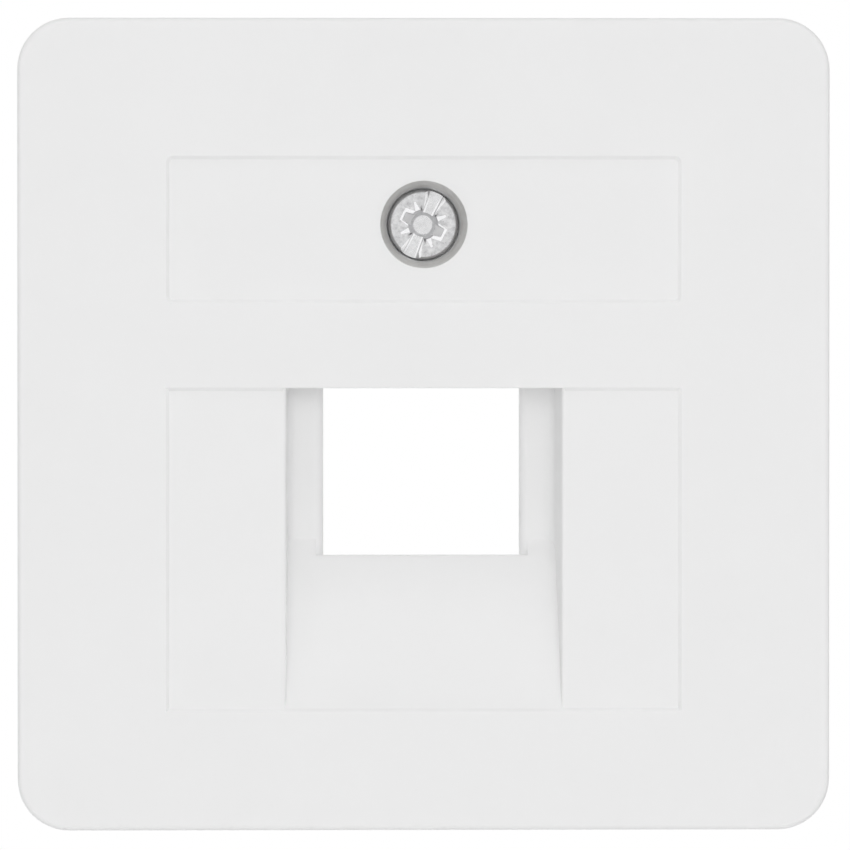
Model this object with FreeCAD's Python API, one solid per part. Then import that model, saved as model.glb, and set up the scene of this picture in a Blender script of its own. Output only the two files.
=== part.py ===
"""Data outlet centre plate for a flush wall socket, in millimetres.

A square moulded cover carries a shallow label field, a sunk well with a captive fixing screw, and a sloped
outlet shaft whose rear wall has the window for one data jack. X runs across the plate, Z up the wall and
Y into the wall. The origin is the centre of the rim's rear face. Depths are measured from the visible face.
"""

import FreeCAD
import Part
import math
import os

from FreeCAD import Vector

# Cover: square face with a rim that sits in the cover frame
PLATE_SIDE = 63.0
CORNER_RADIUS = 4.0
FACE_EDGE_RADIUS = 0.4
FACE_WALL = 2.0
RIM_DEPTH = 9.5
RIM_WALL = 1.6
RIM_DRAFT_DEG = 0.5

# Shallow fields let into the face
RECESS_DEPTH = 0.25
RECESS_DRAFT_DEG = 45.0
LABEL_WIDTH = 39.95
LABEL_HEIGHT = 11.4
LABEL_CENTRE_Z = 15.1
LABEL_CORNER_RADIUS = 0.5
FIELD_WIDTH = 40.0
FIELD_TOP_Z = 2.85
FIELD_BOTTOM_Z = -22.3

# Outlet shaft: a drafted channel with a ramp below and a window in its rear wall
CHANNEL_WIDTH = 21.4
CHANNEL_DEPTH = 8.0
CHANNEL_DRAFT_DEG = 1.7
CHANNEL_CORNER_RADIUS = 0.5
CHANNEL_LIP_RADIUS = 0.25
CHANNEL_TOP_Z = 2.8
CEILING_DRAFT_DEG = 0.5
RAMP_START_Z = -9.2
SHAFT_WALL = 1.4
WINDOW_WIDTH = 15.4
WINDOW_BOTTOM_Z = -10.4
WINDOW_EDGE_RADIUS = 0.6

# Screw well and the boss behind it
SCREW_Z = 15.5
WELL_MOUTH_RADIUS = 3.4
WELL_FLOOR_RADIUS = 2.84
WELL_CONE_DEPTH = 2.9
SEAT_DEPTH = 4.3
CLEARANCE_HOLE_RADIUS = 1.7
BOSS_RADIUS = 4.4
BOSS_DEPTH = 8.5
BOSS_DRAFT_DEG = 1.0

# Stiffening ribs behind the face
RIB_THICKNESS = 1.1
RIB_DEPTH = 5.2
RIB_DRAFT_DEG = 1.0
SHAFT_RIB_Z = -8.0

# Captive screw with a combined slot and cross drive
HEAD_TOP_DEPTH = 2.25
HEAD_TOP_RADIUS = 2.66
HEAD_BASE_RADIUS = 2.75
HEAD_HEIGHT = 1.9
HEAD_EDGE_RADIUS = 0.16
SCREW_LENGTH = 16.0
SHANK_RADIUS = 1.34
THREAD_RADIUS = 1.5
THREAD_LENGTH = 7.4
TIP_CHAMFER = 0.4
DRIVE_TURN_DEG = 24.0
SLOT_MIDDLE_WIDTH = 0.8
SLOT_SPREAD_DEG = 4.0
SLOT_DEPTH = 0.75
SLOT_LEAN = 0.06
SLOT_CHAMFER_WIDTH = 0.13
SLOT_CHAMFER_DEPTH = 0.05
FLARE_START = 1.2
FLARE_WIDTH = 0.36
FLARE_DEPTH = 0.15
CORE_MOUTH_RADIUS = 1.19
CORE_FLOOR_RADIUS = 0.74
DRIVE_DEPTH = 1.45
WING_LENGTH = 1.66
WING_TIP_WIDTH = 0.7
WING_TIP_DEPTH = 0.2
WING_ROOT_WIDTH = 1.24
WING_ROOT_DEPTH = 1.4
WING_LEAN = 0.06
TICK_START = 1.1
TICK_START_WIDTH = 0.4
TICK_END = 1.88
TICK_END_WIDTH = 0.14
TICK_SLOPE_DEG = 23.0

# Washer that keeps the screw in the plate
WASHER_RADIUS = 3.2
WASHER_BORE_RADIUS = 1.4
WASHER_THICKNESS = 0.8
WASHER_CHAMFER = 0.15
WASHER_TO_THREAD_GAP = 0.05

# How far a cutter runs past the faces that it cuts, and how far added walls run into the face
OVERCUT = 1.0
OVERLAP = 1.0

INWARD = Vector(0, 1, 0)


def lean(length, draft_deg):
    """How far a wall of that length leans for that draft."""
    return length * math.tan(math.radians(draft_deg))


def at_depth(depth):
    """The Y of a plane that lies this far behind the visible face."""
    return depth - RIM_DEPTH


def rounded_rectangle(width, height, radius, centre_z, depth):
    """A closed wire parallel to the face, with an arc at each corner."""
    y = at_depth(depth)
    arcs = []
    for sign_x, sign_z, start_deg in ((1, 1, 0), (-1, 1, 90), (-1, -1, 180), (1, -1, 270)):
        centre_x = sign_x * (width / 2 - radius)
        corner_z = centre_z + sign_z * (height / 2 - radius)
        angles = [math.radians(start_deg + step) for step in (0, 45, 90)]
        arcs.append([
            Vector(centre_x + radius * math.cos(a), y, corner_z + radius * math.sin(a)) for a in angles
        ])
    edges = []
    for arc, next_arc in zip(arcs, arcs[1:] + arcs[:1]):
        edges.append(Part.Arc(*arc).toShape())
        edges.append(Part.LineSegment(arc[2], next_arc[0]).toShape())
    return Part.Wire(edges)


def rectangle(width, bottom_z, top_z, depth):
    """A closed wire parallel to the face, with square corners."""
    corners = [(-1, bottom_z), (1, bottom_z), (1, top_z), (-1, top_z), (-1, bottom_z)]
    return Part.makePolygon([Vector(side * width / 2, at_depth(depth), z) for side, z in corners])


def loft(*wires):
    """A solid with straight walls from wire to wire."""
    return Part.makeLoft(list(wires), True, True)


def prism(points, direction):
    """A closed outline, pushed along a direction."""
    return Part.Face(Part.makePolygon(points + points[:1])).extrude(direction)


def side_prism(outline, half_width):
    """An outline of depth and height, extended to both sides of the middle plane."""
    points = [Vector(-half_width, at_depth(depth), z) for depth, z in outline]
    return prism(points, Vector(2 * half_width, 0, 0))


def plan_prism(outline, bottom_z, top_z):
    """An outline of width and depth, extended upwards."""
    points = [Vector(x, at_depth(depth), bottom_z) for x, depth in outline]
    return prism(points, Vector(0, 0, top_z - bottom_z))


def mirrored(outline):
    """One side of an outline of width and depth, closed by its mirror image."""
    return outline + [(-x, depth) for x, depth in reversed(outline)]


def opening(half_width, depth, radius, end_half_width, end_depth, bottom_z, top_z):
    """An opening to the rear, the same on both sides, whose side edges at one depth are rounded."""
    middle = radius * (1 - math.sqrt(0.5))
    wide = half_width + radius
    half = [
        [(wide, depth - OVERCUT), (wide, depth)],
        [(wide, depth), (half_width + middle, depth + middle), (half_width, depth + radius)],
        [(half_width, depth + radius), (end_half_width, end_depth)],
    ]
    other_half = [[(-x, d) for x, d in reversed(run)] for run in reversed(half)]
    rear = [half[-1][-1], other_half[0][0]]
    front = [other_half[-1][-1], half[0][0]]
    edges = []
    for run in half + [rear] + other_half + [front]:
        points = [Vector(x, at_depth(d), bottom_z) for x, d in run]
        curve = Part.Arc(*points) if len(points) == 3 else Part.LineSegment(*points)
        edges.append(curve.toShape())
    return Part.Face(Part.Wire(edges)).extrude(Vector(0, 0, top_z - bottom_z))


def turned(outline):
    """An outline of radius and depth, turned about the screw's axis."""
    points = [Vector(radius, at_depth(depth), SCREW_Z) for radius, depth in outline]
    section = Part.Face(Part.makePolygon(points + points[:1]))
    return section.revolve(Vector(0, 0, SCREW_Z), INWARD, 360)


def edges_where(shape, accepts):
    """The edges whose middle point passes a test."""
    middles = [(e, e.valueAt((e.FirstParameter + e.LastParameter) / 2)) for e in shape.Edges]
    return [edge for edge, middle in middles if accepts(middle)]


def near(a, b):
    return abs(a - b) < 1e-3


# Cover plate

def cover_shell():
    """The face and its rim, which widens a little to the rear, hollow behind and rounded round the face."""
    rim_lean = lean(RIM_DEPTH, RIM_DRAFT_DEG)
    rear_side = PLATE_SIDE + 2 * rim_lean
    outside = loft(
        rounded_rectangle(PLATE_SIDE, PLATE_SIDE, CORNER_RADIUS, 0, 0),
        rounded_rectangle(rear_side, rear_side, CORNER_RADIUS + rim_lean, 0, RIM_DEPTH),
    )
    face_edges = edges_where(outside, lambda p: near(p.y, at_depth(0)))
    outside = outside.makeFillet(FACE_EDGE_RADIUS, face_edges)

    rear_hollow = rear_side - 2 * RIM_WALL
    front_hollow = rear_hollow - 2 * rim_lean
    hollow_radius = CORNER_RADIUS - RIM_WALL
    hollow = loft(
        rounded_rectangle(front_hollow, front_hollow, hollow_radius, 0, FACE_WALL),
        rounded_rectangle(rear_hollow, rear_hollow, hollow_radius + rim_lean, 0, RIM_DEPTH),
    )
    return outside.cut(hollow)


def label_pocket():
    """The shallow field round the screw, with rounded corners."""
    def wire(depth):
        draft = lean(depth, RECESS_DRAFT_DEG)
        return rounded_rectangle(
            LABEL_WIDTH - 2 * draft,
            LABEL_HEIGHT - 2 * draft,
            LABEL_CORNER_RADIUS - draft,
            LABEL_CENTRE_Z,
            depth,
        )

    return loft(wire(-RECESS_DEPTH), wire(RECESS_DEPTH))


def field_pocket():
    """The shallow square-cornered field round the outlet."""
    def wire(depth):
        draft = lean(depth, RECESS_DRAFT_DEG)
        return rectangle(FIELD_WIDTH - 2 * draft, FIELD_BOTTOM_Z + draft, FIELD_TOP_Z - draft, depth)

    return loft(wire(-RECESS_DEPTH), wire(RECESS_DEPTH))


def channel_section():
    """Depth and height of the channel: mouth, ceiling, rear wall and ramp."""
    bottom = FIELD_BOTTOM_Z + lean(RECESS_DEPTH, RECESS_DRAFT_DEG)
    rear_top = CHANNEL_TOP_Z - lean(CHANNEL_DEPTH, CEILING_DRAFT_DEG)
    return [
        (0, CHANNEL_TOP_Z),
        (CHANNEL_DEPTH, rear_top),
        (CHANNEL_DEPTH, RAMP_START_Z),
        (RECESS_DEPTH, bottom),
    ]


def channel_half_width(depth):
    return CHANNEL_WIDTH / 2 - lean(depth - RECESS_DEPTH, CHANNEL_DRAFT_DEG)


def channel_void():
    """The space that a plug takes, with rounded inner corners at its rear."""
    section = channel_section()
    top = section[0][1]
    bottom = section[-1][1]
    side_view = side_prism([(-OVERCUT, top)] + section + [(-OVERCUT, bottom)], CHANNEL_WIDTH)
    past = CHANNEL_DEPTH + OVERCUT
    plan_view = opening(
        channel_half_width(RECESS_DEPTH + CHANNEL_LIP_RADIUS),
        RECESS_DEPTH,
        CHANNEL_LIP_RADIUS,
        channel_half_width(past),
        past,
        bottom - OVERCUT,
        top + OVERCUT,
    )
    void = side_view.common(plan_view)

    rear_y = at_depth(CHANNEL_DEPTH)
    rear_half = channel_half_width(CHANNEL_DEPTH)
    ramp_edge = edges_where(void, lambda p: near(p.y, rear_y) and near(p.z, RAMP_START_Z))
    side_edges = edges_where(void, lambda p: near(p.y, rear_y) and near(abs(p.x), rear_half))
    return void.makeFillet(CHANNEL_CORNER_RADIUS, ramp_edge + side_edges)


def shaft_block():
    """The outside of the outlet shaft, one wall thickness round the channel."""
    (_, top), (_, rear_top), (ramp_depth, ramp_z), (foot_depth, foot_z) = channel_section()
    rear = CHANNEL_DEPTH + SHAFT_WALL
    front = FACE_WALL - OVERLAP
    run = ramp_depth - foot_depth
    rise = ramp_z - foot_z
    ramp_shift = SHAFT_WALL * math.hypot(run, rise) / run

    def under_ramp(depth):
        return foot_z + (depth - foot_depth) * rise / run - ramp_shift

    side_view = side_prism(
        [
            (front, top + SHAFT_WALL),
            (rear, rear_top + SHAFT_WALL),
            (rear, under_ramp(rear)),
            (front, under_ramp(front)),
        ],
        CHANNEL_WIDTH,
    )
    half_plan = [
        (channel_half_width(front) + SHAFT_WALL, front),
        (channel_half_width(rear) + SHAFT_WALL, rear),
    ]
    plan_view = plan_prism(mirrored(half_plan), FIELD_BOTTOM_Z - CHANNEL_DEPTH, top + CHANNEL_DEPTH)
    return side_view.common(plan_view)


def jack_window():
    """The window through the rear wall, flush with the ceiling and biting into the ramp's head."""
    half = WINDOW_WIDTH / 2
    past = CHANNEL_DEPTH + SHAFT_WALL + OVERCUT
    rear_top = channel_section()[1][1]
    return opening(half, CHANNEL_DEPTH, WINDOW_EDGE_RADIUS, half, past, WINDOW_BOTTOM_Z, rear_top)


def screw_boss():
    """The drafted tube behind the label field, before it is bored."""
    front = FACE_WALL - OVERLAP
    wide = BOSS_RADIUS + lean(BOSS_DEPTH - front, BOSS_DRAFT_DEG)
    return turned([(0, front), (wide, front), (BOSS_RADIUS, BOSS_DEPTH), (0, BOSS_DEPTH)])


def screw_well():
    """The coned mouth, counterbore and clearance hole through the boss."""
    past = BOSS_DEPTH + OVERCUT
    return turned([
        (0, 0),
        (WELL_MOUTH_RADIUS, 0),
        (WELL_MOUTH_RADIUS, RECESS_DEPTH),
        (WELL_FLOOR_RADIUS, WELL_CONE_DEPTH),
        (WELL_FLOOR_RADIUS, SEAT_DEPTH),
        (CLEARANCE_HOLE_RADIUS, SEAT_DEPTH),
        (CLEARANCE_HOLE_RADIUS, past),
        (0, past),
    ])


def rib(start_x, start_z, end_x, end_z):
    """A drafted rib behind the face, from one point to another."""
    along = Vector(end_x - start_x, 0, end_z - start_z)
    across = Vector(-along.z, 0, along.x).normalize()
    crest = RIB_THICKNESS / 2
    base = crest + lean(RIB_DEPTH - FACE_WALL, RIB_DRAFT_DEG)
    section = mirrored([(base, FACE_WALL), (crest, RIB_DEPTH)])
    points = [Vector(start_x, at_depth(depth), start_z) + across * offset for offset, depth in section]
    return prism(points, along)


def ribs():
    """Ribs that tie the boss to the rim and to the shaft, and the shaft to the rim."""
    reach = PLATE_SIDE / 2 - RIM_WALL / 2
    shaft_side = channel_half_width(FACE_WALL)
    lines = [(0, SCREW_Z, 0, reach), (0, SCREW_Z, 0, FIELD_TOP_Z)]
    for side in (-1, 1):
        lines.append((0, SCREW_Z, side * reach, SCREW_Z))
        lines.append((side * shaft_side, SHAFT_RIB_Z, side * reach, SHAFT_RIB_Z))
    return [rib(*line) for line in lines]


def cover_plate():
    solid = cover_shell().fuse([shaft_block(), screw_boss()] + ribs())
    solid = solid.cut([label_pocket(), field_pocket(), channel_void(), jack_window(), screw_well()])
    return solid.removeSplitter()


# Fixing screw

def on_screw(shape, turn_deg):
    """The shape turned about the screw's axis, clockwise as seen from the front."""
    return shape.rotate(Vector(0, 0, SCREW_Z), INWARD, turn_deg)


def drive_groove(start, start_half, end, end_half, turn_deg):
    """A groove that runs out over the head, between two half outlines of width and depth below its top."""
    wires = []
    for distance, half_outline in ((start, start_half), (end, end_half)):
        z = SCREW_Z + distance
        outline = mirrored(half_outline)
        points = [Vector(x, at_depth(HEAD_TOP_DEPTH + depth), z) for x, depth in outline]
        wires.append(Part.makePolygon(points + points[:1]))
    return on_screw(loft(*wires), DRIVE_TURN_DEG + turn_deg)


def slot_half_width(distance):
    """Half the slot's mouth, which spreads a little from the head's middle to its rim."""
    return SLOT_MIDDLE_WIDTH / 2 + lean(distance, SLOT_SPREAD_DEG)


def drive_slot():
    """The slot across the whole head in two halves, with a shallow chamfer along each side of its floor."""
    def half_outline(distance):
        mouth = slot_half_width(distance)
        foot = mouth - SLOT_LEAN
        return [
            (mouth, 0),
            (foot, SLOT_DEPTH - SLOT_CHAMFER_DEPTH),
            (foot - SLOT_CHAMFER_WIDTH, SLOT_DEPTH),
        ]

    past = HEAD_BASE_RADIUS + OVERCUT
    return [drive_groove(0, half_outline(0), past, half_outline(past), turn_deg) for turn_deg in (0, 180)]


def slot_flares():
    """Chamfers of the slot's mouth, which widen from the core to the rim at both ends."""
    slope = FLARE_DEPTH / FLARE_WIDTH
    spread = FLARE_WIDTH / (HEAD_TOP_RADIUS - FLARE_START)
    inner = SLOT_MIDDLE_WIDTH / 4

    def half_outline(distance):
        mouth = slot_half_width(distance) + spread * (distance - FLARE_START)
        return [(mouth, 0), (inner, slope * (mouth - inner))]

    past = HEAD_BASE_RADIUS + OVERCUT
    first, last = half_outline(FLARE_START), half_outline(past)
    return [drive_groove(FLARE_START, first, past, last, turn_deg) for turn_deg in (0, 180)]


def drive_core():
    """The round middle of the cross."""
    floor = HEAD_TOP_DEPTH + DRIVE_DEPTH
    return turned([
        (0, HEAD_TOP_DEPTH),
        (CORE_MOUTH_RADIUS, HEAD_TOP_DEPTH),
        (CORE_FLOOR_RADIUS, floor),
        (0, floor),
    ])


def drive_wings():
    """The two wings of the cross beside the slot, narrower at the tips and deeper at the core."""
    def half_outline(width, depth):
        return [(width / 2, 0), (width / 2 - WING_LEAN, depth)]

    root = half_outline(WING_ROOT_WIDTH, WING_ROOT_DEPTH)
    tip = half_outline(WING_TIP_WIDTH, WING_TIP_DEPTH)
    return [drive_groove(0, root, WING_LENGTH, tip, turn_deg) for turn_deg in (90, 270)]


def drive_ticks():
    """Four shallow grooves between the wings, narrower outward, which mark this kind of cross."""
    def half_outline(width):
        floor = width / 8
        return [(width / 2, 0), (floor, lean(width / 2 - floor, TICK_SLOPE_DEG))]

    start, end = half_outline(TICK_START_WIDTH), half_outline(TICK_END_WIDTH)
    return [drive_groove(TICK_START, start, TICK_END, end, turn_deg) for turn_deg in (45, 135, 225, 315)]


def fixing_screw():
    """Cheese head, plain shank and a thread that is wider than the shank."""
    underside = HEAD_TOP_DEPTH + HEAD_HEIGHT
    tip = underside + SCREW_LENGTH
    thread_start = tip - THREAD_LENGTH
    run_in = THREAD_RADIUS - SHANK_RADIUS
    blank = turned([
        (0, HEAD_TOP_DEPTH),
        (HEAD_TOP_RADIUS, HEAD_TOP_DEPTH),
        (HEAD_BASE_RADIUS, underside),
        (SHANK_RADIUS, underside),
        (SHANK_RADIUS, thread_start),
        (THREAD_RADIUS, thread_start + run_in),
        (THREAD_RADIUS, tip - TIP_CHAMFER),
        (THREAD_RADIUS - TIP_CHAMFER, tip),
        (0, tip),
    ])
    head_y = at_depth(HEAD_TOP_DEPTH)
    blank = blank.makeFillet(HEAD_EDGE_RADIUS, edges_where(blank, lambda p: near(p.y, head_y)))
    grooves = drive_slot() + slot_flares() + drive_wings() + drive_ticks()
    return blank.cut([drive_core()] + grooves)


# Retaining washer

def retaining_washer():
    """A thin ring on the plain shank, too narrow to pass back over the thread."""
    thread_start = HEAD_TOP_DEPTH + HEAD_HEIGHT + SCREW_LENGTH - THREAD_LENGTH
    rear = thread_start - WASHER_TO_THREAD_GAP
    front = rear - WASHER_THICKNESS
    return turned([
        (WASHER_BORE_RADIUS, front),
        (WASHER_RADIUS - WASHER_CHAMFER, front),
        (WASHER_RADIUS, front + WASHER_CHAMFER),
        (WASHER_RADIUS, rear - WASHER_CHAMFER),
        (WASHER_RADIUS - WASHER_CHAMFER, rear),
        (WASHER_BORE_RADIUS, rear),
    ])


def main():
    os.makedirs("parts", exist_ok=True)
    nodes = {
        "cover_plate": cover_plate(),
        "fixing_screw": fixing_screw(),
        "retaining_washer": retaining_washer(),
    }
    for name, shape in nodes.items():
        shape.exportStep(f"parts/{name}.step")


main()
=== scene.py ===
import math

import bmesh
import bpy
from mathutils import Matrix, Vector


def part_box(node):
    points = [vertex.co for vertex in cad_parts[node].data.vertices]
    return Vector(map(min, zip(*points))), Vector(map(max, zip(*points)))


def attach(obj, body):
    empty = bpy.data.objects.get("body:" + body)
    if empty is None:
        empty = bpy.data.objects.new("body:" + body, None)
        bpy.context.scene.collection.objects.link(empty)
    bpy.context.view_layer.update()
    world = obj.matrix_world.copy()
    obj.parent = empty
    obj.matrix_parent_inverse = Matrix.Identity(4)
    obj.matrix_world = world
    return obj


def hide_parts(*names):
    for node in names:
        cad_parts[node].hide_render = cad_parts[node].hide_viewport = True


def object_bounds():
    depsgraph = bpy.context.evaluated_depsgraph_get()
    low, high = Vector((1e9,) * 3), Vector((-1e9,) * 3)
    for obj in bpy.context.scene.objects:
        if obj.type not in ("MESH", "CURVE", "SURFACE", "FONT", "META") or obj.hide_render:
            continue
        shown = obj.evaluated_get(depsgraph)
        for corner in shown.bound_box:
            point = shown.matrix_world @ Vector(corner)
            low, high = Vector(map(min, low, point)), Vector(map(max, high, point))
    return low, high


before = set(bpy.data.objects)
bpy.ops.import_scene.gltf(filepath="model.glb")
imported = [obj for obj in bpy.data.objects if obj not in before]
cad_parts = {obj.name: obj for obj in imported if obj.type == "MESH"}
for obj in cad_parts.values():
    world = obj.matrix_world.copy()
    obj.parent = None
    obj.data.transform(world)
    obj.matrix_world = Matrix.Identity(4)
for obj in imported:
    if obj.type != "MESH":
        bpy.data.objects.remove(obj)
cad_box = [list(corner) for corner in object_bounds()]

MM = 0.001

# Camera: nearly straight on, a little from the left, at a long focal length
FACE_Y = cad_box[0][1]
CAMERA_AIM = Vector((0.073 * MM, FACE_Y, -0.051 * MM))
CAMERA_DISTANCE = 0.65
CAMERA_LEFT_DEG = 1.5
CAMERA_UP_DEG = 1.0
CAMERA_CLIP_START = 0.01
VIEW_WIDTH = 65.91 * MM
SENSOR_WIDTH = 36.0

# Lamps: azimuth and elevation seen from the plate, distance, side length, and the share of full light
# that the lamp puts on the side of the plate that it faces
LAMPS = {
    "front": (0, 4, 0.9, 0.3, 0.264),
    "left": (-42, 12, 0.9, 0.5, 0.025),
    "right": (42, 12, 0.9, 0.5, 0.02),
    "top": (0, 60, 0.9, 0.5, 0.062),
    "rear": (180, 10, 0.5, 0.5, 0.4),
}
WORLD_LEVEL = 0.48
MIRROR_RAYS = ("Is Glossy Ray", "Is Transmission Ray")

# Floor: a pale round sheet below the plate that fades to the white of the background
FLOOR_Z = -0.075
FLOOR_RADIUS = 0.5
FLOOR_FADE_START = 0.12
FLOOR_FADE_END = 0.34
FLOOR_TONES = (0.89, 0.91)
FLOOR_PATCHES = (30, 3)
FLOOR_ROUGHNESS = 0.8

# Screw in millimetres: its axis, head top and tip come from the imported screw
SCREW_LOW, SCREW_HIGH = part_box("fixing_screw")
SCREW_LENGTH = (SCREW_HIGH.y - SCREW_LOW.y) / MM
SCREW_ORIGIN = Vector((0, SCREW_LOW.y, (SCREW_LOW.z + SCREW_HIGH.z) / 2))
RING_STEPS = 96
HEAD_TOP_RADIUS = 2.66
HEAD_BASE_RADIUS = 2.75
HEAD_HEIGHT = 1.9
HEAD_EDGE_RADIUS = 0.16
HEAD_EDGE_STEPS = 8
HEAD_FOOT_RADIUS = 0.08
SHANK_RADIUS = 1.34
STUB_LENGTH = 0.4
WELD_DISTANCE = 0.0005
SHARP_EDGE_DEG = 14

# Thread in millimetres, its flats as shares of the pitch
THREAD_RADIUS = 1.5
THREAD_START = 10.5
THREAD_PITCH = 0.5
THREAD_DEPTH = 0.29
THREAD_FADE = 0.6
THREAD_ROWS = 10
THREAD_CREST_FLAT = 0.07
THREAD_ROOT_FLAT = 0.1
TIP_CHAMFER = 0.4

# Drive in millimetres: a slot that widens outward, two wings across it, a round core and small grooves
DRIVE_TURN_DEG = 24
SLOT_MIDDLE_HALF = 0.4
SLOT_WIDENING = 0.07
SLOT_DEPTH = 0.75
SLOT_LEAN = 0.06
SLOT_CHAMFER_WIDTH = 0.13
SLOT_CHAMFER_DEPTH = 0.05
FLARE_START = 1.2
FLARE_WIDTH = 0.36
FLARE_DEPTH = 0.15
CORE_MOUTH_RADIUS = 1.19
CORE_FLOOR_RADIUS = 0.74
CORE_STEPS = 48
DRIVE_DEPTH = 1.45
WING_SPAN = 1.66
WING_TIP_DEPTH = 0.2
WING_ROOT_DEPTH = 1.4
WING_TIP_HALF = 0.35
WING_ROOT_HALF = 0.62
WING_NARROWING = 0.06
WING_EDGE_WIDTH = 0.16
WING_EDGE_DEPTH = 0.065
WING_EDGE_TURN_DEG = 4
TICK_START = 1.1
TICK_START_HALF = 0.2
TICK_END = 1.88
TICK_END_HALF = 0.07
TICK_SLOPE_DEG = 23
TICK_FLOOR_SHARE = 0.25
NOTCH_TURN_DEG = 30
NOTCH_START = 1.1
NOTCH_END = 1.48
NOTCH_HALF = 0.06
NOTCH_DEPTH = 0.5
PAST_HEAD = 3.0
ABOVE_HEAD = -1

# Which faces of the screw have which finish; some of these finishes carry painted shade and some painted
# light
PLAIN, SMOOTH, BURNISHED, DULL_PAINTED_LIGHT, ROOT_SHADE, RIM_SHADE = range(6)
SMOOTH_FLOORS = (SLOT_DEPTH, DRIVE_DEPTH)
FLOOR_MARGIN = 0.01
FLOOR_TILT_DEG = 6
WING_FLOOR_TILT_DEG = 35
BURNISHED_TILT_DEG = 70
# Thread faces nearer the axis than this get darker steel: painted shade in the roots
ROOT_SHADE_RADIUS = 1.4

# Finishes of the screw, in the order of those faces, the thread's roots and the head's rim darkened with
# painted shade, the head's side and the wing floors lightened with painted light: name, low, middle and
# high tone, roughness range
STEELS = (
    ("zinc_plate", (0.52, 0.73, 0.9), (0.26, 0.42)),
    ("smooth_plate", (0.66, 0.78, 0.84), (0.2, 0.32)),
    ("burnished_plate", (0.9, 0.95, 0.98), (0.16, 0.26)),
    ("dull_plate_painted_light", (0.94, 0.96, 0.98), (0.5, 0.62)),
    ("thread_root_painted_shade", (0.42, 0.5, 0.56), (0.4, 0.52)),
    ("rim_painted_shade", (0.5, 0.58, 0.64), (0.5, 0.62)),
)
STEEL_TONE_STOPS = (0.3, 0.55, 0.75)
STEEL_BLUE = 1.01
STEEL_PATCHES = (2600, 5, 0.65)
STEEL_SHEEN = (5200, 4)
STEEL_PITS = (9000, 3)
STEEL_PIT_DEPTH = 4e-6
STEEL_PIT_STRENGTH = 0.35

# Plate's plastic, and painted shade in grey on the well's wall round the screw's axis; its glow is light
# scattered inside it
PLATE_PATCHES = (90, 3)
PLATE_WHITE = (0.905, 0.915)
WELL_SHADE_PATCHES = (1400, 4)
PLATE_WELL_SHADE = ((0.66, 0.65, 0.63), (0.77, 0.77, 0.76))
PLATE_SHEEN = (400, 4)
PLATE_ROUGHNESS = (0.40, 0.46)
PLATE_GRAIN = (5200, 2)
PLATE_GRAIN_DEPTH = 4e-6
PLATE_IOR = 1.5
PLATE_GLOW = 0.3
PLATE_GLOW_REACH = 1.0 * MM
# Where the painted shade on the well's wall starts and ends round the axis, and how deep it fades out
WELL_SHADE_START = 3.34 * MM
WELL_SHADE_END = 3.41 * MM
WELL_SHADE_FADE = 0.4 * MM

# Washer's plastic
WASHER_PATCHES = (700, 4)
WASHER_TONES = ((0.76, 0.76, 0.72), (0.8, 0.8, 0.77))
WASHER_SHEEN = (1500, 3)
WASHER_ROUGHNESS = (0.34, 0.46)
WASHER_GRAIN = (4000, 3)
WASHER_GRAIN_DEPTH = 6e-6
WASHER_GLOW = 0.5
WASHER_GLOW_TINT = (1.0, 0.97, 0.9)
WASHER_GLOW_REACH = 0.7 * MM

# Noise: patterns above give its scale per metre and its detail; ramps over it start and end here
NOISE_LOW = 0.3
NOISE_HIGH = 0.7
GRAIN_STRENGTH = 0.5


def add_object(name, mesh):
    """Object of a mesh, linked into the scene."""
    made = bpy.data.objects.new(name, mesh)
    bpy.context.scene.collection.objects.link(made)
    return made


def mesh_from(builder, name):
    """Mesh of a bmesh, with its faces turned outward."""
    bmesh.ops.recalc_face_normals(builder, faces=builder.faces)
    mesh = bpy.data.meshes.new(name)
    builder.to_mesh(mesh)
    builder.free()
    return mesh


def add_ring(builder, radius, depth):
    """Ring of points round the screw's axis."""
    ring = []
    for step in range(RING_STEPS):
        angle = 2 * math.pi * step / RING_STEPS
        ring.append(builder.verts.new((radius * math.cos(angle), depth, radius * math.sin(angle))))
    return ring


def join_rings(builder, first, second):
    """Band of faces between two rings."""
    for step in range(len(first)):
        after = (step + 1) % len(first)
        builder.faces.new((first[step], first[after], second[after], second[step]))


def head_profile():
    """Radius and depth along the head, from its top to the end of a short stub of shank."""
    profile = []
    for step in range(HEAD_EDGE_STEPS + 1):
        angle = math.pi / 2 * step / HEAD_EDGE_STEPS
        radius = HEAD_TOP_RADIUS - HEAD_EDGE_RADIUS * (1 - math.sin(angle))
        profile.append((radius, HEAD_EDGE_RADIUS * (1 - math.cos(angle))))
    profile.append((HEAD_BASE_RADIUS, HEAD_HEIGHT - HEAD_FOOT_RADIUS))
    profile.append((HEAD_BASE_RADIUS - HEAD_FOOT_RADIUS, HEAD_HEIGHT))
    profile.append((SHANK_RADIUS, HEAD_HEIGHT))
    profile.append((SHANK_RADIUS, HEAD_HEIGHT + STUB_LENGTH))
    return profile


def head_blank():
    """Closed body of the head before the drive is cut."""
    builder = bmesh.new()
    rings = [add_ring(builder, radius, depth) for radius, depth in head_profile()]
    for first, second in zip(rings, rings[1:]):
        join_rings(builder, first, second)
    builder.faces.new(rings[0])
    builder.faces.new(rings[-1])
    return add_object("head_blank", mesh_from(builder, "head_blank"))


def drive_place(across, along, depth, turn_deg=0):
    """Point of the drive, from its place across the slot, along the slot and below the head's top."""
    turn = math.radians(DRIVE_TURN_DEG + turn_deg)
    x = across * math.cos(turn) + along * math.sin(turn)
    z = along * math.cos(turn) - across * math.sin(turn)
    return Vector((x, depth, z))


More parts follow.
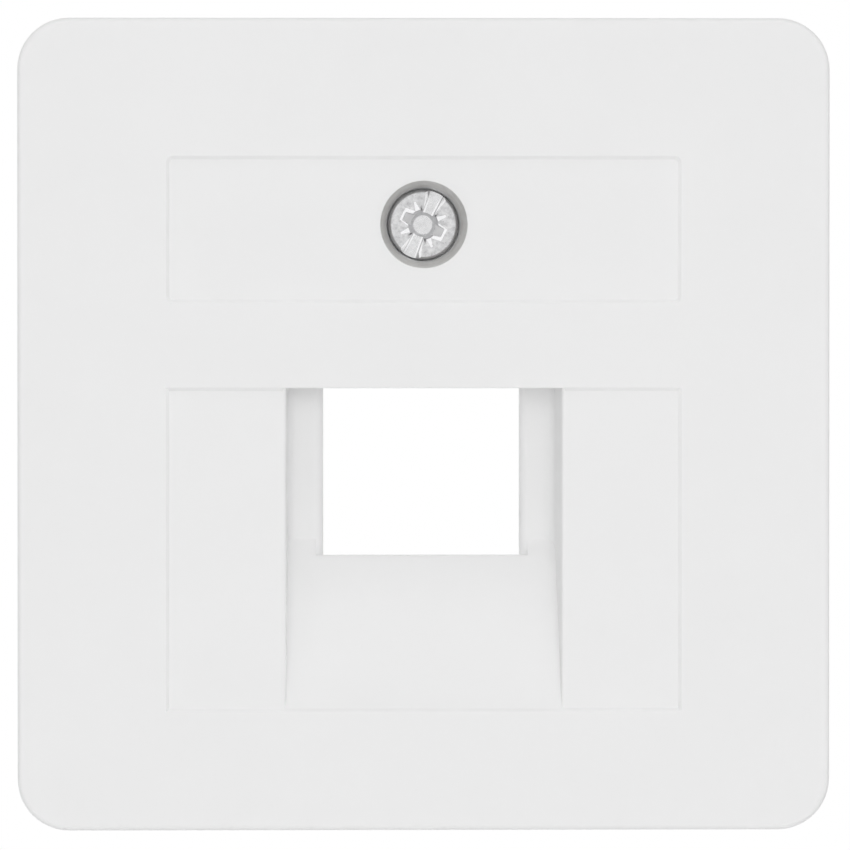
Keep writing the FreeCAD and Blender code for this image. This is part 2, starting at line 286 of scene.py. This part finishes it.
def cutter(points, turn_deg=0):
    """Convex tool body round a set of points of the drive."""
    builder = bmesh.new()
    for point in sorted(set(points)):
        builder.verts.new(drive_place(*point, turn_deg))
    bmesh.ops.convex_hull(builder, input=builder.verts)
    loose = [vert for vert in builder.verts if not vert.link_faces]
    bmesh.ops.delete(builder, geom=loose, context="VERTS")
    return add_object("cutter", mesh_from(builder, "cutter"))


def mirrored(points):
    """Points with their images across the slot's middle."""
    return points + [(-across, along, depth) for across, along, depth in points if across]


def slot_half(along):
    """Half width of the slot's mouth, which widens from the core to the rim."""
    return SLOT_MIDDLE_HALF + SLOT_WIDENING * along


def slot_cutters():
    """Slot across the whole head in two halves, with shallow chamfers at both sides of its floor."""
    section = []
    for along in (0, PAST_HEAD):
        mouth = slot_half(along)
        foot = mouth - SLOT_LEAN
        section.append((foot - SLOT_CHAMFER_WIDTH, along, SLOT_DEPTH))
        section.append((foot, along, SLOT_DEPTH - SLOT_CHAMFER_DEPTH))
        section.append((mouth, along, 0))
        section.append((mouth, along, ABOVE_HEAD))
    return [cutter(mirrored(section), turn) for turn in (0, 180)]


def flare_cutters():
    """Chamfers at the slot's mouth that widen from the core to the rim, as a sunk wedge at each end."""
    slope = FLARE_DEPTH / FLARE_WIDTH
    widening = FLARE_WIDTH / (HEAD_TOP_RADIUS - FLARE_START)
    points = []
    for along in (FLARE_START, PAST_HEAD):
        mouth = slot_half(along) + widening * (along - FLARE_START)
        points.append((0, along, slope * mouth))
        points.append((mouth, along, 0))
        points.append((mouth, along, ABOVE_HEAD))
    return [cutter(mirrored(points), turn) for turn in (0, 180)]


def wing_outline(depth, grow, span):
    """Outline of both wings at a depth, wider than the mouth by a given amount."""
    corners = [(span, WING_TIP_HALF + grow), (0, WING_ROOT_HALF + grow)]
    return [(across, side * along, depth) for across, along in corners for side in (-1, 1)]


def wing_cutters():
    """Two wings across the slot, with floors that slope to the core, and a chamfer towards one flank."""
    walls = wing_outline(ABOVE_HEAD, 0, WING_SPAN) + wing_outline(0, 0, WING_SPAN)
    walls += wing_outline(WING_TIP_DEPTH, -WING_NARROWING, WING_SPAN - WING_NARROWING)
    walls += [(0, WING_ROOT_HALF - WING_NARROWING, WING_ROOT_DEPTH)]
    walls += [(0, WING_NARROWING - WING_ROOT_HALF, WING_ROOT_DEPTH)]
    edge = wing_outline(WING_EDGE_DEPTH, 0, WING_SPAN)
    for height in (1, 2):
        grow = height * WING_EDGE_WIDTH
        edge += wing_outline((1 - height) * WING_EDGE_DEPTH, grow, WING_SPAN + grow)
    return [cutter(mirrored(walls)), cutter(mirrored(edge), WING_EDGE_TURN_DEG)]


def core_cutter():
    """Tapered round core of the drive."""
    points = []
    for step in range(CORE_STEPS):
        angle = 2 * math.pi * step / CORE_STEPS
        across, along = math.cos(angle), math.sin(angle)
        points.append((CORE_MOUTH_RADIUS * across, CORE_MOUTH_RADIUS * along, ABOVE_HEAD))
        points.append((CORE_MOUTH_RADIUS * across, CORE_MOUTH_RADIUS * along, 0))
        points.append((CORE_FLOOR_RADIUS * across, CORE_FLOOR_RADIUS * along, DRIVE_DEPTH))
    return cutter(points)


def tick_cutters():
    """Four short grooves between the slot and the wings, narrower outward."""
    slope = math.tan(math.radians(TICK_SLOPE_DEG))
    points = []
    for along, half in ((TICK_START, TICK_START_HALF), (TICK_END, TICK_END_HALF)):
        floor_half = TICK_FLOOR_SHARE * half
        points.append((floor_half, along, (half - floor_half) * slope))
        points.append((half, along, 0))
        points.append((half, along, ABOVE_HEAD))
    return [cutter(mirrored(points), turn) for turn in (45, 135, 225, 315)]


def notch_cutters():
    """Four narrow nicks in the core's wall, beside the slot's inner ends."""
    points = []
    for along, depth in ((NOTCH_START, NOTCH_DEPTH), (NOTCH_END, NOTCH_DEPTH / 2)):
        points.append((NOTCH_HALF / 2, along, depth))
        points.append((NOTCH_HALF, along, 0))
        points.append((NOTCH_HALF, along, ABOVE_HEAD))
    sides = (NOTCH_TURN_DEG, -NOTCH_TURN_DEG)
    return [cutter(mirrored(points), side + half) for side in sides for half in (0, 180)]


def evaluated_mesh(item):
    """Mesh of an object with its modifiers applied."""
    graph = bpy.context.evaluated_depsgraph_get()
    return bpy.data.meshes.new_from_object(item.evaluated_get(graph))


def cut_head():
    """Head with its drive, as a mesh in millimetres."""
    blank = head_blank()
    tools = slot_cutters() + [core_cutter()] + flare_cutters()
    tools += wing_cutters() + tick_cutters() + notch_cutters()
    for tool in tools:
        cut = blank.modifiers.new("cut", "BOOLEAN")
        cut.operation = "DIFFERENCE"
        cut.solver = "MANIFOLD"
        cut.object = tool
    mesh = evaluated_mesh(blank)
    for spare in [blank] + tools:
        bpy.data.meshes.remove(spare.data)
    return mesh


def thread_profile(share):
    """Radius of the thread at a share of one pitch, from crest to crest."""
    fall = abs(2 * share - 1)
    climb = (fall - THREAD_ROOT_FLAT) / (1 - THREAD_CREST_FLAT - THREAD_ROOT_FLAT)
    return THREAD_RADIUS - THREAD_DEPTH * (1 - min(max(climb, 0), 1))


def thread_radius(depth, share):
    """Radius at a depth, with the thread's run-out at the shank and the chamfer at the tip."""
    fade = min(max((depth - THREAD_START) / THREAD_FADE, 0), 1)
    radius = SHANK_RADIUS + (thread_profile(share) - SHANK_RADIUS) * fade
    tip = SCREW_LENGTH - depth
    return min(radius, THREAD_RADIUS - TIP_CHAMFER + tip)


def add_thread(builder, stub_depth):
    """Shank from the stub to the thread, the helical thread and its flat end."""
    step = THREAD_PITCH / THREAD_ROWS
    rows = math.ceil((SCREW_LENGTH - THREAD_START + 2 * THREAD_PITCH) / step)
    columns = []
    for column in range(RING_STEPS + 1):
        angle = 2 * math.pi * column / RING_STEPS
        lead = THREAD_PITCH * (column / RING_STEPS - 1)
        line = []
        for row in range(rows + 1):
            depth = min(max(THREAD_START + lead + row * step, THREAD_START), SCREW_LENGTH)
            radius = thread_radius(depth, (row % THREAD_ROWS) / THREAD_ROWS)
            line.append(builder.verts.new((radius * math.cos(angle), depth, radius * math.sin(angle))))
        columns.append(line)
    for first, second in zip(columns, columns[1:]):
        for row in range(rows):
            builder.faces.new((first[row], first[row + 1], second[row + 1], second[row]))
    shank = add_ring(builder, SHANK_RADIUS, stub_depth)
    collar = add_ring(builder, SHANK_RADIUS, THREAD_START)
    join_rings(builder, shank, collar)
    end = add_ring(builder, THREAD_RADIUS - TIP_CHAMFER, SCREW_LENGTH)
    builder.faces.new(end)


def finish_index(face):
    """Which finish a face of the screw has, from its place and tilt; the thread's roots and the head's rim
    get painted shade, the head's side and the wing floors painted light.
    """
    place = face.calc_center_median()
    tilt = math.degrees(face.normal.angle(Vector((0, -1, 0))))
    radius = math.hypot(place.x, place.z)
    if place.y > HEAD_HEIGHT + FLOOR_MARGIN:
        threaded = THREAD_START < place.y < SCREW_LENGTH - TIP_CHAMFER
        # Darker steel in the thread's roots is painted shade
        return ROOT_SHADE if threaded and radius < ROOT_SHADE_RADIUS else SMOOTH
    # Darker steel on the head's rounded rim is painted shade of the gap round the head
    if radius > HEAD_TOP_RADIUS - HEAD_EDGE_RADIUS:
        # Below the rim, the head's side in the gap gets rough steel lightened with painted light
        return RIM_SHADE if place.y < HEAD_EDGE_RADIUS else DULL_PAINTED_LIGHT
    if tilt < FLOOR_TILT_DEG and min(abs(place.y - depth) for depth in SMOOTH_FLOORS) < FLOOR_MARGIN:
        return SMOOTH
    # Sloped wing floors get rough steel lightened with painted light
    if WING_FLOOR_TILT_DEG < tilt < BURNISHED_TILT_DEG and place.y > WING_TIP_DEPTH:
        return DULL_PAINTED_LIGHT
    if tilt < BURNISHED_TILT_DEG and place.y > FLOOR_MARGIN / 2:
        return BURNISHED
    return PLAIN


def drop_lid(builder, depth):
    """Takes away the face that closes the stub of shank at a depth."""
    lids = [face for face in builder.faces if all(vert.co.y > depth - FLOOR_MARGIN for vert in face.verts)]
    bmesh.ops.delete(builder, geom=lids, context="FACES")


def machine_screw():
    """Screw with its drive and thread, in metres at its place in the plate."""
    builder = bmesh.new()
    head = cut_head()
    builder.from_mesh(head)
    bpy.data.meshes.remove(head)
    stub_depth = HEAD_HEIGHT + STUB_LENGTH
    drop_lid(builder, stub_depth)
    add_thread(builder, stub_depth)
    bmesh.ops.remove_doubles(builder, verts=builder.verts, dist=WELD_DISTANCE)
    bmesh.ops.recalc_face_normals(builder, faces=builder.faces)
    for face in builder.faces:
        face.material_index = finish_index(face)
    for vert in builder.verts:
        vert.co = vert.co * MM + SCREW_ORIGIN
    mesh = mesh_from(builder, "machine_screw")
    mesh.shade_smooth()
    mesh.set_sharp_from_angle(angle=math.radians(SHARP_EDGE_DEG))
    screw = add_object("machine_screw", mesh)
    for name, tones, roughness in STEELS:
        mesh.materials.append(steel(name, tones, roughness))
    normals = screw.modifiers.new("normals", "WEIGHTED_NORMAL")
    normals.keep_sharp = True
    return screw


def material_nodes(name):
    """New node material with its tree and its shader."""
    material = bpy.data.materials.new(name)
    material.use_nodes = True
    tree = material.node_tree
    return material, tree, tree.nodes["Principled BSDF"]


def noise(tree, scale, detail, roughness=0.5):
    """Noise over the object's own coordinates."""
    place = tree.nodes.new("ShaderNodeTexCoord")
    made = tree.nodes.new("ShaderNodeTexNoise")
    made.inputs["Scale"].default_value = scale
    made.inputs["Detail"].default_value = detail
    made.inputs["Roughness"].default_value = roughness
    tree.links.new(place.outputs["Object"], made.inputs["Vector"])
    return made.outputs["Fac"]


def ramp(tree, source, positions, colours):
    """Colour ramp over a source, from positions and as many greys or colours."""
    made = tree.nodes.new("ShaderNodeValToRGB")
    band = made.color_ramp
    while len(band.elements) < len(positions):
        band.elements.new(0.5)
    for element, position, colour in zip(band.elements, positions, colours):
        element.position = position
        element.color = (*colour, 1) if isinstance(colour, tuple) else (colour, colour, colour, 1)
    tree.links.new(source, made.inputs["Fac"])
    return made.outputs["Color"]


def mottle(tree, pattern, colours):
    """Soft patches of noise between two greys or colours."""
    return ramp(tree, noise(tree, *pattern), (NOISE_LOW, NOISE_HIGH), colours)


def bump(tree, height, depth, strength):
    """Bump of a given depth in metres over a height."""
    made = tree.nodes.new("ShaderNodeBump")
    made.inputs["Distance"].default_value = depth
    made.inputs["Strength"].default_value = strength
    tree.links.new(height, made.inputs["Height"])
    return made.outputs["Normal"]


def share_between(tree, value, none_at, full_at):
    """Nought where a value is at one limit, one where it is at the other, clamped."""
    share = tree.nodes.new("ShaderNodeMapRange")
    share.inputs["From Min"].default_value = none_at
    share.inputs["From Max"].default_value = full_at
    tree.links.new(value, share.inputs["Value"])
    return share.outputs["Result"]


def combine(tree, operation, first, second):
    """Two values put together by a math operation."""
    made = tree.nodes.new("ShaderNodeMath")
    made.operation = operation
    tree.links.new(first, made.inputs[0])
    tree.links.new(second, made.inputs[1])
    return made.outputs["Value"]


def well_shade_share(tree):
    """Share of painted shade: one on the coned wall of the screw's well, nought on the rest of the plate.
    """
    place = tree.nodes.new("ShaderNodeTexCoord")
    flat = tree.nodes.new("ShaderNodeVectorMath")
    flat.operation = "MULTIPLY"
    flat.inputs[1].default_value = (1, 0, 1)
    tree.links.new(place.outputs["Object"], flat.inputs[0])
    away = tree.nodes.new("ShaderNodeVectorMath")
    away.operation = "DISTANCE"
    away.inputs[1].default_value = (SCREW_ORIGIN.x, 0, SCREW_ORIGIN.z)
    tree.links.new(flat.outputs["Vector"], away.inputs[0])
    inside = share_between(tree, away.outputs["Value"], WELL_SHADE_END, WELL_SHADE_START)
    parts = tree.nodes.new("ShaderNodeSeparateXYZ")
    tree.links.new(place.outputs["Object"], parts.inputs["Vector"])
    shallow = share_between(tree, parts.outputs["Y"], SCREW_ORIGIN.y + WELL_SHADE_FADE, SCREW_ORIGIN.y)
    return combine(tree, "MULTIPLY", inside, shallow)


def plate_plastic():
    """Satin white moulding: even colour, fine grain, slight shine, painted shade in grey in the screw's
    well.
    """
    material, tree, shader = material_nodes("white_moulding")
    colour = tree.nodes.new("ShaderNodeMix")
    colour.data_type = "RGBA"
    # The grey mixed in on the well's coned wall is painted shade
    tree.links.new(well_shade_share(tree), colour.inputs["Factor"])
    tree.links.new(mottle(tree, PLATE_PATCHES, PLATE_WHITE), colour.inputs["A"])
    tree.links.new(mottle(tree, WELL_SHADE_PATCHES, PLATE_WELL_SHADE), colour.inputs["B"])
    tree.links.new(colour.outputs["Result"], shader.inputs["Base Color"])
    tree.links.new(mottle(tree, PLATE_SHEEN, PLATE_ROUGHNESS), shader.inputs["Roughness"])
    grain = bump(tree, noise(tree, *PLATE_GRAIN), PLATE_GRAIN_DEPTH, GRAIN_STRENGTH)
    tree.links.new(grain, shader.inputs["Normal"])
    shader.inputs["IOR"].default_value = PLATE_IOR
    shader.inputs["Subsurface Weight"].default_value = PLATE_GLOW
    shader.inputs["Subsurface Radius"].default_value = (1.0, 1.0, 1.0)
    shader.inputs["Subsurface Scale"].default_value = PLATE_GLOW_REACH
    return material


def steel(name, tones, roughness):
    """Zinc plate: mottled grey metal with a soft sheen and fine pits."""
    material, tree, shader = material_nodes(name)
    low, middle, high = tones
    colours = ((low, low, low * STEEL_BLUE), (middle, middle, middle * STEEL_BLUE), (high, high, high))
    patches = ramp(tree, noise(tree, *STEEL_PATCHES), STEEL_TONE_STOPS, colours)
    tree.links.new(patches, shader.inputs["Base Color"])
    tree.links.new(mottle(tree, STEEL_SHEEN, roughness), shader.inputs["Roughness"])
    pits = bump(tree, noise(tree, *STEEL_PITS), STEEL_PIT_DEPTH, STEEL_PIT_STRENGTH)
    tree.links.new(pits, shader.inputs["Normal"])
    shader.inputs["Metallic"].default_value = 1.0
    return material


def washer_plastic():
    """Natural soft polymer: waxy, slightly see-through white."""
    material, tree, shader = material_nodes("natural_polymer")
    tree.links.new(mottle(tree, WASHER_PATCHES, WASHER_TONES), shader.inputs["Base Color"])
    tree.links.new(mottle(tree, WASHER_SHEEN, WASHER_ROUGHNESS), shader.inputs["Roughness"])
    grain = bump(tree, noise(tree, *WASHER_GRAIN), WASHER_GRAIN_DEPTH, GRAIN_STRENGTH)
    tree.links.new(grain, shader.inputs["Normal"])
    shader.inputs["Subsurface Weight"].default_value = WASHER_GLOW
    shader.inputs["Subsurface Radius"].default_value = WASHER_GLOW_TINT
    shader.inputs["Subsurface Scale"].default_value = WASHER_GLOW_REACH
    return material


def white_share(tree, seen=None):
    """One for reflected and transmitted rays, and for camera rays one or a given share of it."""
    path = tree.nodes.new("ShaderNodeLightPath")
    share = path.outputs["Is Camera Ray"]
    if seen:
        share = combine(tree, "MULTIPLY", share, seen)
    for name in MIRROR_RAYS:
        share = combine(tree, "MAXIMUM", share, path.outputs[name])
    return share


def make_world():
    """White to the camera and in reflections, and an even soft light on the object."""
    world = bpy.data.worlds.new("studio")
    world.use_nodes = True
    tree = world.node_tree
    tree.nodes.clear()
    output = tree.nodes.new("ShaderNodeOutputWorld")
    choice = tree.nodes.new("ShaderNodeMixShader")
    soft = tree.nodes.new("ShaderNodeBackground")
    soft.inputs["Strength"].default_value = WORLD_LEVEL
    white = tree.nodes.new("ShaderNodeBackground")
    for shade in (soft, white):
        shade.inputs["Color"].default_value = (1, 1, 1, 1)
    tree.links.new(white_share(tree), choice.inputs["Fac"])
    tree.links.new(soft.outputs["Background"], choice.inputs[1])
    tree.links.new(white.outputs["Background"], choice.inputs[2])
    tree.links.new(choice.outputs["Shader"], output.inputs["Surface"])
    bpy.context.scene.world = world


def aim(item, target):
    """Turns a lamp or camera to look at a point, level."""
    item.rotation_euler = (target - item.location).to_track_quat("-Z", "Y").to_euler()


def make_lamp(name, azimuth, elevation, distance, size, level):
    """Soft square lamp that puts the given share of full light on the plate."""
    turn, lift = math.radians(azimuth), math.radians(elevation)
    away = Vector((math.sin(turn) * math.cos(lift), -math.cos(turn) * math.cos(lift), math.sin(lift)))
    data = bpy.data.lights.new(name, "AREA")
    data.shape = "SQUARE"
    data.size = size
    data.energy = level * math.pi ** 2 * distance ** 2 / abs(away.y)
    lamp = bpy.data.objects.new(name, data)
    lamp.location = CAMERA_AIM + distance * away
    aim(lamp, CAMERA_AIM)
    lamp.visible_camera = False
    lamp.visible_glossy = False
    bpy.context.scene.collection.objects.link(lamp)


def floor_fade(tree):
    """Share of white on the floor, which the camera sees grow from the plate to the floor's edge."""
    place = tree.nodes.new("ShaderNodeTexCoord")
    away = tree.nodes.new("ShaderNodeVectorMath")
    away.operation = "LENGTH"
    tree.links.new(place.outputs["Object"], away.inputs[0])
    fade = share_between(tree, away.outputs["Value"], FLOOR_FADE_START, FLOOR_FADE_END)
    return white_share(tree, fade)


def make_floor():
    """Pale floor that keeps the plate's shadow and fades to white towards its edge."""
    builder = bmesh.new()
    bmesh.ops.create_circle(builder, cap_ends=True, segments=RING_STEPS, radius=FLOOR_RADIUS)
    floor = add_object("floor", mesh_from(builder, "floor"))
    floor.location.z = FLOOR_Z
    material, tree, shader = material_nodes("pale_floor")
    tree.links.new(mottle(tree, FLOOR_PATCHES, FLOOR_TONES), shader.inputs["Base Color"])
    shader.inputs["Roughness"].default_value = FLOOR_ROUGHNESS
    white = tree.nodes.new("ShaderNodeEmission")
    choice = tree.nodes.new("ShaderNodeMixShader")
    tree.links.new(floor_fade(tree), choice.inputs["Fac"])
    tree.links.new(shader.outputs["BSDF"], choice.inputs[1])
    tree.links.new(white.outputs["Emission"], choice.inputs[2])
    tree.links.new(choice.outputs["Shader"], tree.nodes["Material Output"].inputs["Surface"])
    floor.data.materials.append(material)


def make_camera():
    """Camera at the photo's angle."""
    data = bpy.data.cameras.new("camera")
    data.sensor_width = SENSOR_WIDTH
    data.lens = SENSOR_WIDTH * CAMERA_DISTANCE / VIEW_WIDTH
    data.clip_start = CAMERA_CLIP_START
    camera = bpy.data.objects.new("camera", data)
    left, up = math.radians(CAMERA_LEFT_DEG), math.radians(CAMERA_UP_DEG)
    back = Vector((-math.sin(left) * math.cos(up), -math.cos(left) * math.cos(up), math.sin(up)))
    camera.location = CAMERA_AIM + CAMERA_DISTANCE * back
    aim(camera, CAMERA_AIM)
    bpy.context.scene.collection.objects.link(camera)
    bpy.context.scene.camera = camera


make_camera()
make_world()
for lamp_name, lamp_values in LAMPS.items():
    make_lamp(lamp_name, *lamp_values)
make_floor()

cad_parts["cover_plate"].material_slots[0].material = plate_plastic()
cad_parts["retaining_washer"].material_slots[0].material = washer_plastic()

screw = machine_screw()
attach(screw, "screw")
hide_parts("fixing_screw")

bpy.context.scene.view_settings.view_transform = "Standard"
